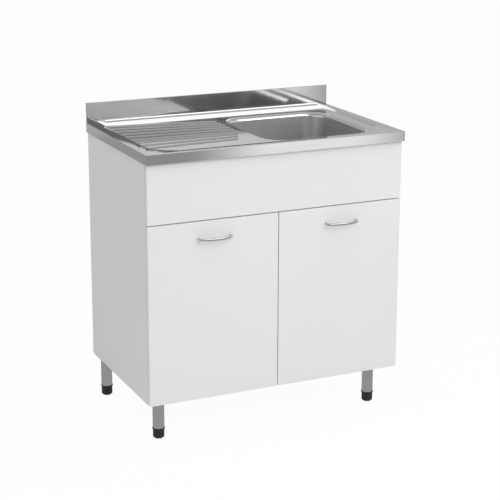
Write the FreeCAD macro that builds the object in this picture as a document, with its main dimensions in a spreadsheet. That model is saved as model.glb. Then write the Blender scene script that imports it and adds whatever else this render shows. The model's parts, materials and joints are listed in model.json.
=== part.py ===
"""A free-standing kitchen sink unit: a pressed steel sink top on a white two-door cabinet.

Frame: X along the width, the doors face -Y, +Z is up.  The origin is on the floor, below the
middle of the unit's overall box.  Every length is in millimetres.
"""
import FreeCAD, Part
import math
import os
import Sketcher

Vector = FreeCAD.Vector
QUARTER_TURN = math.pi / 2

doc = FreeCAD.newDocument("KitchenSinkUnit")
sheet = doc.addObject("Spreadsheet::Sheet", "Sizes")


# ---------------------------------------------------------------- driving dimensions

DIMENSIONS = {
    # overall
    "unit_width": 800,
    "unit_depth": 500,
    "worktop_height": 850,
    # sink top
    "sheet": 0.8,
    "rim_drop": 28,
    "rim_corner": 4,
    "upstand_rise": 60,
    "upstand_depth": 8,
    "cove_radius": 7,
    "hem_front": 9,
    "hem_side": 3.4,
    "pan_depth": 5,
    "pan_left": 21.5,
    "pan_right": 21.5,
    "pan_front": 28,
    "pan_corner": 110,
    "pan_wall_left": 24,
    "pan_wall": 8,
    "pan_blend": 6,
    "ledge_depth": 46,
    "ledge_slope": 36,
    "ledge_left": 43,
    "ledge_right": 20,
    "ledge_end": 12,
    "ridge_count": 9,
    "ridge_full": 6,
    "ridge_rise": 3,
    "ridge_width": 9,
    "ridge_blend": 2,
    "ridge_end_left": 45,
    "ridge_back_left": 59,
    "ridge_front_left": 105,
    "ridge_back_right": 116,
    "ridge_front_right": 124,
    "ridge_bowl_gap": 36,
    "ridge_cut_back": 15,
    "tap_hole_size": 35,
    "tap_hole_back": 88,
    "tap_hole_gap": 2,
    # bowl and waste
    "bowl_width": 320,
    "bowl_right": 78,
    "bowl_front": 64,
    "bowl_back": 96,
    "bowl_corner": 58,
    "bowl_edge": 13,
    "bowl_depth": 150,
    "bowl_draft": 4,
    "bowl_floor_blend": 26,
    "waste_hole": 50,
    "waste_flange_size": 72,
    "waste_flange_rise": 2,
    "waste_tube_size": 46,
    "waste_tube_wall": 2.5,
    "waste_tube_length": 62,
    "waste_outlet_size": 44,
    "waste_outlet_length": 35,
    "waste_seal": 3,
    "waste_top_seal": 1,
    "waste_nut_size": 66,
    "waste_nut_height": 12,
    "waste_nut_flange": 4,
    "plug_depth": 7,
    "plug_rim": 2.8,
    "plug_crown": 3.5,
    "plug_knob": 7,
    "plug_rise": 9.8,
    "plug_play": 0.5,
    # cabinet
    "panel": 16,
    "side_overhang": 4,
    "front_overhang": 11,
    "back_overhang": 1,
    "cabinet_base": 127.5,
    "seat_play": 0.3,
    "front_reveal": 3,
    "side_reveal": 1,
    "base_reveal": 1,
    "seam_height": 650,
    "fascia_top_play": 4,
    "rail_height": 80,
    "door_standoff": 3,
    "dowel_size": 8,
    "dowel_length": 30,
    "dowel_in_side": 10,
    "base_dowel_inset": 100,
    "dowel_play": 0.05,
    # hinges
    "axis_inset": 7,
    "axis_depth": 8,
    "cup_size": 35,
    "cup_centre": 20.5,
    "cup_depth": 11.5,
    "cup_wall": 0.8,
    "cup_flange": 1.2,
    "cup_rim": 2,
    "cup_play": 0.05,
    "cup_wing": 22,
    "cup_wing_width": 16,
    "cup_wing_back": 2.5,
    "pin_size": 2.2,
    "pin_play": 0.05,
    "pin_seat": 0.01,
    "pin_length": 19.2,
    "arm_sheet": 1.5,
    "arm_width": 10,
    "arm_eye": 4.2,
    "plate_centre": 37,
    "plate_length": 40,
    "plate_sheet": 3,
    "plate_width": 12,
    "plate_hole": 16,
    "hinge_inset": 100,
    "bumper_size": 9,
    "bumper_inset": 16,
    # handles
    "handle_projection": 28,
    "handle_spacing": 96,
    "handle_length": 104,
    "handle_bar": 9,
    "handle_bow": 8,
    "handle_post": 8,
    "handle_drop": 49,
    # fixings
    "screw_shank": 4,
    "screw_head": 8,
    "screw_head_rise": 2,
    "screw_grip": 12,
    "bracket_length": 36,
    "bracket_hole": 27,
    "bracket_sheet": 2,
    "clip_width": 30,
    "clip_reach": 36,
    "clip_drop": 34,
    "clip_hole": 23.8,
    "clip_place": 130,
    # legs
    "front_leg_side": 58,
    "front_leg_front": 87,
    "rear_leg_side": 34,
    "rear_leg_back": 36,
    "leg_tube": 34,
    "leg_wall": 1.5,
    "leg_plate_size": 56,
    "leg_plate_sheet": 3,
    "leg_spigot": 18,
    "leg_hole": 20,
    "foot_height": 31,
    "foot_size": 33,
    "foot_lip": 36.5,
    "foot_lip_rise": 6,
    "foot_edge": 4,
    "foot_stem": 45,
    "foot_play": 0.05,
}


def fill_sheet():
    """Write each driving dimension into the sheet under its alias."""
    for row, (alias, number) in enumerate(DIMENSIONS.items(), start=1):
        sheet.set(f"A{row}", alias.replace("_", " "))
        sheet.set(f"B{row}", str(number))
        sheet.setAlias(f"B{row}", alias)
    doc.recompute()


class Size:
    """A length that keeps the sheet expression it is worked out by."""

    def __init__(self, text, number):
        self.text = text
        self.number = number

    def _joined(self, sign, other, swapped=False):
        other = other if isinstance(other, Size) else Size(repr(other), other)
        first, second = (other, self) if swapped else (self, other)
        number = {
            "+": lambda a, b: a + b,
            "-": lambda a, b: a - b,
            "*": lambda a, b: a * b,
            "/": lambda a, b: a / b,
        }[sign](first.number, second.number)
        return Size(f"({first.text} {sign} {second.text})", number)

    def __add__(self, other):
        return self._joined("+", other)

    def __radd__(self, other):
        return self._joined("+", other, swapped=True)

    def __sub__(self, other):
        return self._joined("-", other)

    def __rsub__(self, other):
        return self._joined("-", other, swapped=True)

    def __mul__(self, other):
        return self._joined("*", other)

    def __rmul__(self, other):
        return self._joined("*", other, swapped=True)

    def __truediv__(self, other):
        return self._joined("/", other)

    def __rtruediv__(self, other):
        return self._joined("/", other, swapped=True)

    def __neg__(self):
        return self * -1


class Sheet:
    """Gives each alias of the sheet as a Size."""

    def __getattr__(self, alias):
        return Size(f"Sizes.{alias}", float(sheet.get(alias)))


S = Sheet()


def root(size):
    """Return the square root of a Size as a Size."""
    return Size(f"sqrt({size.text})", math.sqrt(size.number))


def number_of(size):
    """Return the plain number of a Size or a number."""
    return size.number if isinstance(size, Size) else size


def bind(item, name, size):
    """Bind one property or constraint of an object to a Size, or set a plain number."""
    if isinstance(size, Size):
        item.setExpression(name, size.text)
    else:
        item.setExpression(name, repr(size))


# ---------------------------------------------------------------- sketches and features

def new_body(label, x=0, y=0, z=0):
    """Return a new body with its own label and a placement bound to three sizes."""
    body = doc.addObject("PartDesign::Body", label)
    body.Label = label
    body.AllowCompound = True
    for axis, size in zip("xyz", (x, y, z)):
        bind(body, f"Placement.Base.{axis}", size)
    return body


def origin_item(body, role):
    """Return the plane or axis of the body's own origin that has this role."""
    return next(item for item in body.Origin.OriginFeatures if item.Role == role)


class Outline:
    """One sketch on a plane of its body's origin, with every point bound to the sheet."""

    def __init__(self, body, plane="XY", offset=0):
        self.body = body
        self.sketch = body.newObject("Sketcher::SketchObject", f"{body.Name}_outline")
        self.sketch.AttachmentSupport = [(origin_item(body, f"{plane}_Plane"), "")]
        self.sketch.MapMode = "FlatFace"
        bind(self.sketch, "AttachmentOffset.Base.z", offset)

    def _constrain(self, *values, size=None):
        index = self.sketch.addConstraint(Sketcher.Constraint(*values))
        if size is not None:
            bind(self.sketch, f"Constraints[{index}]", size)

    def _pin(self, geometry, point, x, y):
        """Hold one point of one edge at (x, y)."""
        self._constrain("DistanceX", -1, 1, geometry, point, number_of(x), size=x)
        self._constrain("DistanceY", -1, 1, geometry, point, number_of(y), size=y)

    def polygon(self, points):
        """Add a closed polygon through the given points."""
        spots = [Vector(number_of(x), number_of(y), 0) for x, y in points]
        edges = [
            self.sketch.addGeometry(Part.LineSegment(start, end))
            for start, end in zip(spots, spots[1:] + spots[:1])
        ]
        for edge, following in zip(edges, edges[1:] + edges[:1]):
            self._constrain("Coincident", edge, 2, following, 1)
        for edge, (x, y) in zip(edges, points):
            self._pin(edge, 1, x, y)
        return self

    def rectangle(self, left, low, right, high):
        """Add a rectangle between two corners."""
        return self.polygon([(left, low), (right, low), (right, high), (left, high)])

    def circle(self, x, y, radius):
        """Add a circle."""
        centre = Vector(number_of(x), number_of(y), 0)
        edge = self.sketch.addGeometry(Part.Circle(centre, Vector(0, 0, 1), number_of(radius)))
        self._pin(edge, 3, x, y)
        self._constrain("Radius", edge, number_of(radius), size=radius)
        return self

    def slot(self, x0, y0, x1, y1, radius):
        """Add a round-ended slot between two end centres."""
        start = Vector(number_of(x0), number_of(y0), 0)
        end = Vector(number_of(x1), number_of(y1), 0)
        along = (end - start).normalize()
        across = Vector(-along.y, along.x, 0) * number_of(radius)
        up = Vector(0, 0, 1)
        turn = FreeCAD.Vector(1, 0, 0).getAngle(along)
        if along.y < 0:
            turn = -turn
        half = QUARTER_TURN
        near = self.sketch.addGeometry(Part.ArcOfCircle(
            Part.Circle(start, up, number_of(radius)), turn + half, turn + 3 * half))
        low = self.sketch.addGeometry(Part.LineSegment(start - across, end - across))
        far = self.sketch.addGeometry(Part.ArcOfCircle(
            Part.Circle(end, up, number_of(radius)), turn - half, turn + half))
        high = self.sketch.addGeometry(Part.LineSegment(end + across, start + across))
        self._constrain("Tangent", near, 2, low, 1)
        self._constrain("Tangent", low, 2, far, 1)
        self._constrain("Tangent", far, 2, high, 1)
        self._constrain("Tangent", high, 2, near, 1)
        self._constrain("Equal", near, far)
        self._pin(near, 3, x0, y0)
        self._pin(far, 3, x1, y1)
        self._constrain("Radius", near, number_of(radius), size=radius)
        return self

    def rounded(self, left, low, right, high, radius):
        """Add a rectangle with four round corners."""
        up = Vector(0, 0, 1)
        reach = number_of(radius)
        half = QUARTER_TURN
        corners = []
        for index, (x, y, x_sign, y_sign) in enumerate([
                (left, low, 1, 1), (right, low, -1, 1), (right, high, -1, -1), (left, high, 1, -1)]):
            centre = Vector(number_of(x) + x_sign * reach, number_of(y) + y_sign * reach, 0)
            first = (2 + index) * half
            arc = self.sketch.addGeometry(Part.ArcOfCircle(
                Part.Circle(centre, up, reach), first, first + half))
            corners.append((arc, x + x_sign * radius, y + y_sign * radius))
        for index, (arc, x, y) in enumerate(corners):
            following = corners[(index + 1) % 4][0]
            edge = self.sketch.addGeometry(Part.LineSegment(
                self.sketch.getPoint(arc, 2), self.sketch.getPoint(following, 1)))
            self._constrain("Tangent", arc, 2, edge, 1)
            self._constrain("Tangent", edge, 2, following, 1)
        for arc, x, y in corners:
            self._pin(arc, 3, x, y)
        self._constrain("Radius", corners[0][0], reach, size=radius)
        return self

    def pad(self, length, back=False, taper=0):
        """Pad the outline along its normal, or against it, and return the feature."""
        return self._extrude("PartDesign::Pad", length, back, taper)

    def pocket(self, depth, back=True, taper=0):
        """Cut the outline to a depth against its normal, or along it when back is False."""
        return self._extrude("PartDesign::Pocket", depth, not back, taper)

    def _extrude(self, kind, length, reverse, taper):
        feature = self.body.newObject(kind, f"{self.body.Name}_{kind.split('::')[1].lower()}")
        feature.Profile = self.sketch
        feature.Reversed = reverse
        bind(feature, "Length", length)
        if number_of(taper):
            bind(feature, "TaperAngle", taper)
        doc.recompute()
        return feature

    def revolve(self):
        """Turn the outline once round the upright axis of its own sketch."""
        feature = self.body.newObject("PartDesign::Revolution", f"{self.body.Name}_turned")
        feature.Profile = self.sketch
        feature.ReferenceAxis = (self.sketch, ["V_Axis"])
        feature.Angle = 360
        doc.recompute()
        return feature


def fillet(body, radius, picked):
    """Round the edges of the body's last shape that the test picks."""
    doc.recompute()
    base = body.Tip
    names = [
        f"Edge{index}"
        for index, edge in enumerate(base.Shape.Edges, start=1)
        if picked(edge)
    ]
    feature = body.newObject("PartDesign::Fillet", f"{body.Name}_blend")
    feature.Base = (base, names)
    bind(feature, "Radius", radius)
    doc.recompute()
    return feature


def blended(body, kind, first, second):
    """Add or cut the straight blend between two outlines."""
    feature = body.newObject(kind, f"{body.Name}_blended")
    feature.Profile = first.sketch
    feature.Sections = [second.sketch]
    feature.Ruled = True
    doc.recompute()
    return feature


def near(value, size, slack=0.01):
    """Tell whether a number lies at a size."""
    return abs(value - number_of(size)) < slack


fill_sheet()

# ---------------------------------------------------------------- derived places

HALF_WIDTH = S.unit_width / 2
BACK = (S.unit_depth + S.handle_projection - S.front_overhang) / 2
FRONT = BACK - S.unit_depth
TOP = S.worktop_height
RIM_BASE = TOP - S.rim_drop
PAN_FLOOR = TOP - S.pan_depth
EDGE_BASE = PAN_FLOOR - S.bowl_edge

PAN_LEFT = -HALF_WIDTH + S.pan_left
PAN_RIGHT = HALF_WIDTH - S.pan_right
PAN_FRONT = FRONT + S.pan_front
LEDGE_LEFT = -HALF_WIDTH + S.ledge_left
LEDGE_RIGHT = HALF_WIDTH - S.ledge_right
LEDGE_FRONT = BACK - S.upstand_depth - S.ledge_depth

BOWL_RIGHT = HALF_WIDTH - S.bowl_right
BOWL_LEFT = BOWL_RIGHT - S.bowl_width
BOWL_BACK = BACK - S.bowl_back
BOWL_FRONT = FRONT + S.bowl_front
BOWL_X = (BOWL_LEFT + BOWL_RIGHT) / 2
BOWL_Y = (BOWL_FRONT + BOWL_BACK) / 2
BOWL_FLOOR = TOP - S.bowl_depth
TAP_HOLE = (BOWL_LEFT - S.tap_hole_gap, BACK - S.tap_hole_back)

SIDE_OUTER = HALF_WIDTH - S.side_overhang
SIDE_INNER = SIDE_OUTER - S.panel
DOOR_EDGE = SIDE_OUTER - S.side_reveal
DOOR_FACE = FRONT + S.front_overhang
DOOR_BACK = DOOR_FACE + S.panel
CARCASS_FRONT = DOOR_BACK + S.door_standoff
CARCASS_BACK = BACK - S.back_overhang - S.sheet
CARCASS_TOP = TOP - S.sheet
BASE_TOP = S.cabinet_base + S.panel

DOOR_LOW = S.cabinet_base + S.base_reveal
DOOR_HIGH = S.seam_height - S.front_reveal / 2
DOOR_WIDTH = DOOR_EDGE - S.front_reveal / 2
FASCIA_LOW = S.seam_height + S.front_reveal / 2
FASCIA_HIGH = CARCASS_TOP - S.fascia_top_play

HINGE_HEIGHTS = (DOOR_LOW + S.hinge_inset, DOOR_HIGH - S.hinge_inset)
SIDES = {"left": -1, "right": 1}
SHANK = S.screw_shank / 2
HEAD = S.screw_head / 2
PILOT = SHANK + S.dowel_play

nodes = {}


def keep(item):
    """Count an object as a sub-part that is written to its own file."""
    nodes[item.Label] = item
    return item


def cut(label, base, tool):
    """Keep the difference of two objects as one sub-part."""
    piece = doc.addObject("Part::Cut", label)
    piece.Label = label
    piece.Base = base
    piece.Tool = tool
    doc.recompute()
    return keep(piece)


def inward(side, distance):
    """Return the X that lies a distance inward from the outer edge of one door."""
    return side * (DOOR_EDGE - distance)


def circles(body, plane, offset, places, radius):
    """Return an outline with one circle at each place."""
    outline = Outline(body, plane, offset)
    for x, y in places:
        outline.circle(x, y, radius)
    return outline


def level(edge, z):
    """Tell whether an edge lies flat at one height."""
    return near(edge.BoundBox.ZMin, z) and near(edge.BoundBox.ZMax, z)


def upright(edge):
    """Tell whether an edge runs straight up."""
    return near(edge.BoundBox.XLength, 0) and near(edge.BoundBox.YLength, 0)


def inside(edge, left, front, right, back):
    """Tell whether an edge lies within a rectangle seen from above."""
    box = edge.BoundBox
    slack = 1
    return (box.XMin > number_of(left) - slack and box.XMax < number_of(right) + slack
            and box.YMin > number_of(front) - slack and box.YMax < number_of(back) + slack)


# ---------------------------------------------------------------- sink top and bowl

def press_pan(body, skin):
    """Sink the pan into the form: a wide slope at the drainer's end and short ones elsewhere."""
    behind = BACK + S.pan_corner
    rim = Outline(body, "XY", TOP - skin).rounded(
        PAN_LEFT - skin, PAN_FRONT - skin, PAN_RIGHT + skin, behind, S.pan_corner)
    floor = Outline(body, "XY", PAN_FLOOR - skin).rounded(
        PAN_LEFT + S.pan_wall_left - skin, PAN_FRONT + S.pan_wall - skin,
        PAN_RIGHT - S.pan_wall + skin, behind, S.pan_corner)
    blended(body, "PartDesign::SubtractiveLoft", floor, rim)
    fillet(body, S.pan_blend, lambda edge: level(edge, PAN_FLOOR - skin))


def raise_ledge(body, skin):
    """Raise the ledge that slopes up from the pan to the foot of the upstand."""
    behind = BACK - S.upstand_depth / 2
    floor = Outline(body, "XY", PAN_FLOOR - skin).rectangle(
        LEDGE_LEFT + skin, LEDGE_FRONT + skin, LEDGE_RIGHT - skin, behind)
    crest = Outline(body, "XY", TOP - skin).rectangle(
        LEDGE_LEFT + S.ledge_end + skin, LEDGE_FRONT + S.ledge_slope + skin,
        LEDGE_RIGHT - S.ledge_end - skin, behind)
    blended(body, "PartDesign::AdditiveLoft", floor, crest)


def bowl_outline(body, height, skin):
    """Return the outline of the bowl's mouth at a height, one skin further out."""
    outline = Outline(body, "XY", height)
    return outline.rounded(
        BOWL_LEFT - skin, BOWL_FRONT - skin, BOWL_RIGHT + skin, BOWL_BACK + skin,
        S.bowl_corner + skin)


def add_cove(body, skin, upstand):
    """Fill the corner between ledge and upstand and hollow it round."""
    start = LEDGE_LEFT + S.ledge_end + skin
    length = LEDGE_RIGHT - S.ledge_end - skin - start
    reach = S.cove_radius + skin
    Outline(body, "YZ", start).rectangle(
        upstand - reach, TOP - skin, upstand, TOP + S.cove_radius).pad(length)
    circles(body, "YZ", start, [(upstand - reach, TOP + S.cove_radius)], reach).pocket(
        length, back=False)


def add_ridges(body, skin):
    """Raise the drainer ridges, which fan out from the bowl towards the far end."""
    floor = PAN_FLOOR - skin
    ridges = Outline(body, "XY", floor)
    steps = S.ridge_count - 1
    step_left = (S.unit_depth - S.ridge_back_left - S.ridge_front_left) / steps
    step_right = (S.unit_depth - S.ridge_back_right - S.ridge_front_right) / steps
    for index in range(int(S.ridge_count.number)):
        past_corner = max(0, index + 1 - int(S.ridge_full.number))
        ridges.slot(
            -HALF_WIDTH + S.ridge_end_left,
            BACK - S.ridge_back_left - index * step_left,
            BOWL_LEFT - S.ridge_bowl_gap - past_corner * S.ridge_cut_back,
            BACK - S.ridge_back_right - index * step_right,
            S.ridge_width / 2 - skin)
    ridges.pad(S.ridge_rise)
    fillet(body, S.ridge_blend - skin, lambda edge: level(edge, floor + S.ridge_rise))


def pressed_form(label, skin):
    """Return the sink top's form, solid down to the hem and one skin inside its outer faces."""
    body = new_body(label)
    base = RIM_BASE + skin
    deck_rise = TOP - skin - base
    left = -HALF_WIDTH + skin
    back = BACK - skin
    upstand = BACK - S.upstand_depth + skin
    Outline(body, "XY", base).rectangle(left, FRONT + skin, -left, back).pad(deck_rise)
    fillet(body, S.rim_corner - skin, lambda edge: (
        upright(edge) and near(edge.BoundBox.YMax, FRONT + skin)))
    press_pan(body, skin)
    raise_ledge(body, skin)
    Outline(body, "XY", base).rectangle(left, upstand, -left, back).pad(
        deck_rise + S.upstand_rise)
    add_cove(body, skin, upstand)
    add_ridges(body, skin)
    bowl_outline(body, TOP, skin).pocket(2 * S.rim_drop)
    fillet(body, S.bowl_edge - skin, lambda edge: (
        level(edge, PAN_FLOOR - skin)
        and inside(edge, BOWL_LEFT - skin, BOWL_FRONT - skin, BOWL_RIGHT + skin,
                   BOWL_BACK + skin)))
    return body


def make_sink_top():
    """One pressed sheet: rim, upstand, recessed pan, drainer ridges and rolled bowl edge."""
    outer = pressed_form("sink_top_outside", 0)
    bowl_outline(outer, RIM_BASE, 2 * S.sheet).pocket(EDGE_BASE - RIM_BASE, back=False)
    circles(outer, "XY", TOP, [TAP_HOLE], S.tap_hole_size / 2).pocket(S.rim_drop)
    inner = pressed_form("sink_top_inside", S.sheet)
    mouth = Outline(inner, "XY", RIM_BASE - S.sheet)
    mouth.rectangle(-HALF_WIDTH + S.hem_side, FRONT + S.hem_front,
                    HALF_WIDTH - S.hem_side, BACK - S.sheet).pad(2 * S.sheet)
    return cut("sink_top", outer, inner)


def bowl_form(label, skin):
    """Return the bowl's drafted form, one skin inside its outer faces."""
    body = new_body(label)
    floor = BOWL_FLOOR + skin - S.sheet
    bowl_outline(body, EDGE_BASE, S.sheet - skin).pad(
        EDGE_BASE - floor, back=True, taper=-S.bowl_draft)
    fillet(body, S.bowl_floor_blend - skin, lambda edge: level(edge, floor))
    return body


def make_bowl():
    """The bowl below the rolled edge, with the hole for the waste in its floor."""
    outer = bowl_form("sink_bowl_outside", 0)
    circles(outer, "XY", BOWL_FLOOR - 2 * S.sheet, [(BOWL_X, BOWL_Y)], S.waste_hole / 2).pocket(
        S.rim_drop, back=False)
    inner = bowl_form("sink_bowl_inside", S.sheet)
    return cut("sink_bowl", outer, inner)


# ---------------------------------------------------------------- waste

def turned(label, x, y, z, points):
    """Return a body turned round its own Z axis from a profile of (radius, height) points."""
    body = new_body(label, x, y, z)
    Outline(body, "XZ").polygon(points).revolve()
    return keep(body)


def make_waste():
    """The slotted waste: flange and tube, its two seals, the back nut and the plug."""
    tube = S.waste_tube_size / 2
    bore = tube - S.waste_tube_wall
    flange = S.waste_flange_size / 2
    seal = S.waste_top_seal
    outlet = S.waste_outlet_size / 2
    shoulder = S.waste_outlet_length - S.waste_tube_length
    turned("waste_flange", BOWL_X, BOWL_Y, BOWL_FLOOR + seal, [
        (bore, -S.waste_tube_length), (outlet, -S.waste_tube_length), (outlet, shoulder),
        (tube, shoulder), (tube, 0), (flange, 0),
        (flange, S.waste_flange_rise / 2), (tube + S.waste_flange_rise, S.waste_flange_rise),
        (bore + S.waste_flange_rise, S.waste_flange_rise), (bore, 0)])
    turned("waste_upper_seal", BOWL_X, BOWL_Y, BOWL_FLOOR, [
        (tube, 0), (flange, 0), (flange, seal), (tube, seal)])
    turned("waste_lower_seal", BOWL_X, BOWL_Y, BOWL_FLOOR - S.sheet, [
        (tube, -S.waste_seal), (flange, -S.waste_seal), (flange, 0), (tube, 0)])
    nut = new_body("waste_nut", BOWL_X, BOWL_Y, BOWL_FLOOR - S.sheet - S.waste_seal)
    circles(nut, "XY", 0, [(0, 0)], S.waste_nut_size / 2).pad(S.waste_nut_flange, back=True)
    circles(nut, "XY", 0, [(0, 0)], S.waste_nut_size / 2 - S.waste_seal).pad(
        S.waste_nut_height, back=True)
    circles(nut, "XY", 0, [(0, 0)], tube).pocket(S.waste_nut_height)
    keep(nut)
    plug = bore - S.plug_play
    turned("drain_plug", BOWL_X, BOWL_Y, BOWL_FLOOR + seal + S.waste_flange_rise, [
        (0, -S.plug_depth), (plug, -S.plug_depth), (plug, 0),
        (bore + 2 * S.waste_flange_rise, 0), (bore + S.waste_flange_rise, S.plug_rim),
        (S.plug_knob / 2, S.plug_crown), (S.plug_knob / 2, S.plug_rise), (0, S.plug_rise)])


# ---------------------------------------------------------------- cabinet panels

def dowel_places(low, high, front, back):
    """Return the (y, z) centres of the two dowels in the end of one rail or panel."""
    y, z = (front + back) / 2, (low + high) / 2
    quarter = (high - low) / 4
    if number_of(high - low) > number_of(back - front):
        return [(y, low + quarter), (y, high - quarter)]
    return [(y_end, z) for y_end in (front + S.base_dowel_inset, back - S.base_dowel_inset)]


# the front rails and the brackets share the height behind the fascia
RAIL_SHARE = 0.41
BRACKET_SHARE = 0.26
RAIL_CEILING = PAN_FLOOR - S.sheet - S.seat_play
FRONT_RAIL = (RAIL_CEILING - S.seam_height) * RAIL_SHARE
BRACKET = (RAIL_CEILING - S.seam_height) * BRACKET_SHARE
RAIL_BACK = CARCASS_FRONT + S.panel
RAILS = {
    # label: (low, high, front, back)
    "bottom_panel": (S.cabinet_base, BASE_TOP, CARCASS_FRONT, CARCASS_BACK),
    "front_top_rail": (RAIL_CEILING - FRONT_RAIL, RAIL_CEILING, CARCASS_FRONT, RAIL_BACK),
    "front_middle_rail": (S.seam_height - FRONT_RAIL / 2, S.seam_height + FRONT_RAIL / 2,
                          CARCASS_FRONT, RAIL_BACK),
    "rear_top_rail": (RAIL_CEILING - S.rail_height, RAIL_CEILING,
                      CARCASS_BACK - S.panel, CARCASS_BACK),
    "rear_lower_rail": (BASE_TOP, BASE_TOP + S.rail_height,
                        CARCASS_BACK - S.panel, CARCASS_BACK),
}
DOWELS = [place for ends in RAILS.values() for place in dowel_places(*ends)]
PLATE_Y = CARCASS_FRONT + S.plate_centre
PLATE_HOLES = [(PLATE_Y, z + sign * S.plate_hole) for z in HINGE_HEIGHTS for sign in (-1, 1)]
BRACKET_Z = (RAILS["front_middle_rail"][1] + RAILS["front_top_rail"][0]) / 2
BRACKET_Y = DOOR_BACK + S.bracket_hole
BRACKET_HOLES = [(BRACKET_Y, BRACKET_Z + sign * BRACKET / 4) for sign in (-1, 1)]
CLIP_TOP = PAN_FLOOR - S.sheet
CLIP_Z = CLIP_TOP - S.clip_hole
CLIP_HOLES = [(sign * S.clip_place, CLIP_Z) for sign in (-1, 1)]
LEGS = {
    "front_left_leg": (-HALF_WIDTH + S.front_leg_side, FRONT + S.front_leg_front),
    "front_right_leg": (HALF_WIDTH - S.front_leg_side, FRONT + S.front_leg_front),
    "rear_left_leg": (-HALF_WIDTH + S.rear_leg_side, BACK - S.rear_leg_back),
    "rear_right_leg": (HALF_WIDTH - S.rear_leg_side, BACK - S.rear_leg_back),
}
LEG_HOLES = [
    (x + x_sign * S.leg_hole, y + y_sign * S.leg_hole)
    for x, y in LEGS.values() for x_sign in (-1, 1) for y_sign in (-1, 1)
]


def make_side_panel(name, side):
    """One cabinet side, drilled from its inner face for dowels, hinge plates and brackets."""
    body = new_body(f"{name}_side_panel", side * SIDE_INNER)
    Outline(body, "YZ").rectangle(CARCASS_FRONT, S.cabinet_base, CARCASS_BACK, CARCASS_TOP).pad(
        S.panel, back=side < 0)
    circles(body, "YZ", 0, DOWELS, S.dowel_size / 2 + S.dowel_play).pocket(
        S.dowel_in_side + S.seat_play, back=side < 0)
    circles(body, "YZ", 0, PLATE_HOLES + BRACKET_HOLES + CLIP_HOLES, PILOT).pocket(
        S.screw_grip + S.seat_play, back=side < 0)
    over_panel = [(x - side * SIDE_INNER, y) for x, y in LEG_HOLES
                  if side * number_of(x) > number_of(SIDE_INNER)]
    if over_panel:
        circles(body, "XY", S.cabinet_base, over_panel, PILOT).pocket(
            S.screw_grip + S.seat_play, back=False)
    return keep(body)


def make_cross_member(label, low, high, front, back):
    """The bottom panel or one rail, with dowel holes in both ends."""
    body = new_body(label)
    Outline(body, "YZ", -SIDE_INNER).rectangle(front, low, back, high).pad(2 * SIDE_INNER)
    depth = S.dowel_length - S.dowel_in_side + S.seat_play
    for side in SIDES.values():
        circles(body, "YZ", side * SIDE_INNER, dowel_places(low, high, front, back),
                S.dowel_size / 2 + S.dowel_play).pocket(depth, back=side > 0)
    if label == "bottom_panel":
        circles(body, "XY", low, LEG_HOLES, PILOT).pocket(S.screw_grip + S.seat_play, back=False)
    return keep(body)


def make_dowels():
    """Every dowel of the cabinet, half in a side and half in a rail or the bottom."""
    body = new_body("dowels")
    for side in SIDES.values():
        circles(body, "YZ", side * (SIDE_INNER + S.dowel_in_side), DOWELS, S.dowel_size / 2).pad(
            S.dowel_length, back=side > 0)
    return keep(body)


def make_fascia():
    """The fixed false drawer front above the doors, with its brackets and screws."""
    body = new_body("fascia_panel", 0, DOOR_FACE)
    Outline(body, "XZ", -S.panel).rectangle(
        -DOOR_EDGE, FASCIA_LOW, DOOR_EDGE, FASCIA_HIGH).pad(S.panel)
    screw_x = SIDE_INNER - S.bracket_hole
    places = [(side * screw_x, z) for side in SIDES.values() for _, z in BRACKET_HOLES]
    circles(body, "XZ", -S.panel, places, PILOT).pocket(S.screw_grip, back=False)
    keep(body)

    brackets = new_body("fascia_brackets")
    screws = new_body("fascia_screws")
    low = BRACKET_Z - BRACKET / 2
    for side in SIDES.values():
        corner = side * SIDE_INNER
        skin = side * S.bracket_sheet
        leg = side * S.bracket_length
        Outline(brackets, "XY", low).polygon([
            (corner, DOOR_BACK), (corner - leg, DOOR_BACK),
            (corner - leg, DOOR_BACK + S.bracket_sheet),
            (corner - skin, DOOR_BACK + S.bracket_sheet),
            (corner - skin, DOOR_BACK + S.bracket_length),
            (corner, DOOR_BACK + S.bracket_length)]).pad(BRACKET)
        circles(brackets, "YZ", corner - skin, BRACKET_HOLES, PILOT).pocket(
            S.bracket_sheet, back=side < 0)
        circles(screws, "YZ", corner - skin, BRACKET_HOLES, HEAD).pad(
            S.screw_head_rise, back=side > 0)
        circles(screws, "YZ", corner - skin, BRACKET_HOLES, SHANK).pad(
            S.screw_grip, back=side < 0)
    circles(brackets, "XZ", -(DOOR_BACK + S.bracket_sheet), places, PILOT).pocket(
        S.bracket_sheet, back=False)
    circles(screws, "XZ", -(DOOR_BACK + S.bracket_sheet), places, HEAD).pad(
        S.screw_head_rise, back=True)
    circles(screws, "XZ", -(DOOR_BACK + S.bracket_sheet), places, SHANK).pad(S.screw_grip)
    keep(brackets)
    keep(screws)


def make_sink_clips():
    """Four angles that hold the sink top down on the cabinet sides, and their screws."""
    clips = new_body("sink_clips")
    screws = new_body("sink_clip_screws")
    for side in SIDES.values():
        corner = side * SIDE_INNER
        skin = side * S.bracket_sheet
        for place, _ in CLIP_HOLES:
            Outline(clips, "XZ", -(place + S.clip_width / 2)).polygon([
                (corner, CLIP_TOP), (corner - side * S.clip_reach, CLIP_TOP),
                (corner - side * S.clip_reach, CLIP_TOP - S.bracket_sheet),
                (corner - skin, CLIP_TOP - S.bracket_sheet),
                (corner - skin, CLIP_TOP - S.clip_drop),
                (corner, CLIP_TOP - S.clip_drop)]).pad(S.clip_width)
        circles(clips, "YZ", corner - skin, CLIP_HOLES, PILOT).pocket(
            S.bracket_sheet, back=side < 0)
        circles(screws, "YZ", corner - skin, CLIP_HOLES, HEAD).pad(
            S.screw_head_rise, back=side > 0)
        circles(screws, "YZ", corner - skin, CLIP_HOLES, SHANK).pad(S.screw_grip, back=side < 0)
    keep(clips)
    keep(screws)


# ---------------------------------------------------------------- doors

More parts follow.
